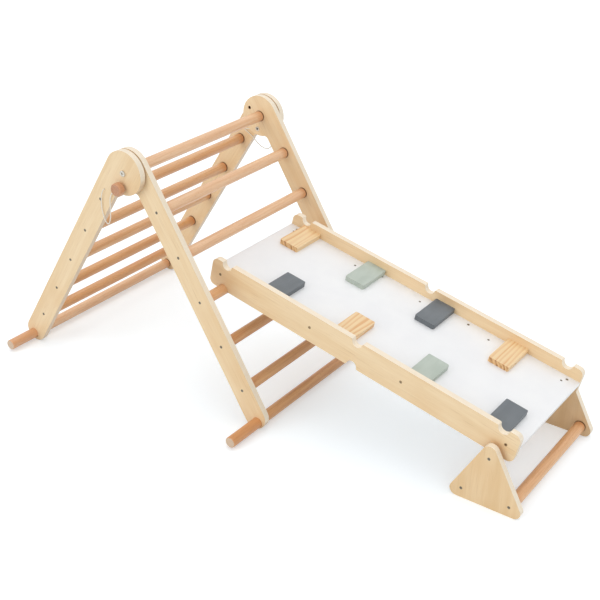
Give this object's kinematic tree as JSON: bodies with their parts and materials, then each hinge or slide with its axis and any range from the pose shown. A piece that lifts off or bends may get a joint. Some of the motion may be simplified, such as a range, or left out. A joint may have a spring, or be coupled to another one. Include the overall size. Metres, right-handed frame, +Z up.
{
  "type": "folding climbing triangle",
  "caption": "Folding wooden climbing triangle for small children, with a ramp hooked on a rung that carries step blocks and ends on a low triangular stand.",
  "frame": {"origin": "on the floor, under the middle of the whole set as it stands open with the ramp on", "axes": "+X runs from the ladders down the ramp, +Y along the rungs towards the set's left side, +Z up"},
  "size_m": [1.6746, 0.85, 0.7322],
  "materials": {
    "plywood": "clear lacquered birch plywood with visible plies on the edges",
    "bar_wood": "clear lacquered beech bar, warm orange brown",
    "knob_wood": "turned hardwood, reddish brown, lacquered",
    "white_board": "smooth white laminate",
    "pine": "lacquered pine with straight stripes",
    "slate_paint": "slate grey stain, matt",
    "sage_paint": "sage green stain, matt",
    "nylon": "natural nylon",
    "cord": "off-white braided cord",
    "plug_steel": "dull zinc",
    "bright_steel": "bright zinc",
    "steel": "zinc plated"
  },
  "bodies": {
    "front_frame": {"front_rail_left": "plywood", "front_rail_right": "plywood", "front_rung_1": "bar_wood", "front_rung_2": "bar_wood", "front_rung_3": "bar_wood", "front_rung_4": "bar_wood", "front_rung_5": "bar_wood", "front_foot_bar": "bar_wood", "lock_inserts": "bright_steel", "front_screws_left": "steel", "front_screws_right": "steel"},
    "rear_frame": {"rear_rail_left": "plywood", "rear_rail_right": "plywood", "rear_rung_1": "bar_wood", "rear_rung_2": "bar_wood", "rear_rung_3": "bar_wood", "rear_rung_4": "bar_wood", "rear_rung_5": "bar_wood", "rear_foot_bar": "bar_wood", "pivot_rung": "bar_wood", "pivot_bolts": "steel", "pivot_spacers": "nylon", "rear_screws_left": "steel", "rear_screws_right": "steel", "lock_cord_left": "cord", "lock_cord_right": "cord", "cord_knots": "cord"},
    "lock_left": {"lock_knob_left": "knob_wood", "lock_pin_left": "bright_steel"},
    "lock_right": {"lock_knob_right": "knob_wood", "lock_pin_right": "bright_steel"},
    "ramp": {"ramp_rail_left": "plywood", "ramp_rail_right": "plywood", "ramp_board": "white_board", "step_block_1": "pine", "step_block_2": "slate_paint", "step_block_3": "sage_paint", "step_block_4": "pine", "step_block_5": "slate_paint", "step_block_6": "sage_paint", "step_block_7": "pine", "step_block_8": "slate_paint", "step_block_screws": "steel", "ramp_bolts_left": "steel", "ramp_bolts_right": "steel", "ramp_barrel_nuts": "steel", "board_plugs": "plug_steel"},
    "stand": {"stand_plate_left": "plywood", "stand_plate_right": "plywood", "stand_top_dowel": "bar_wood", "stand_rear_dowel": "bar_wood", "stand_front_dowel": "bar_wood", "stand_screws_left": "steel", "stand_screws_right": "steel"}
  },
  "joints": [
    {"name": "fold", "type": "hinge", "parent": "front_frame", "child": "rear_frame", "pos_m": [-0.37207, 0, 0.66824], "axis": [0, -1, 0], "range_deg": [0, 64]},
    {"name": "lock_left_pull", "type": "slide", "parent": "rear_frame", "child": "lock_left", "axis": [0, 1, 0], "range_m": [0, 0.025]},
    {"name": "lock_right_pull", "type": "slide", "parent": "rear_frame", "child": "lock_right", "axis": [0, -1, 0], "range_m": [0, 0.025]},
    {"name": "ramp_lift", "type": "hinge", "parent": "front_frame", "child": "ramp", "pos_m": [-0.13223, 0, 0.33765], "axis": [0, -1, 0], "range_deg": [0, 25]},
    {"name": "stand_shift", "type": "slide", "parent": "front_frame", "child": "stand", "axis": [0, 1, 0], "range_m": [-0.009, 0.009]}
  ]
}
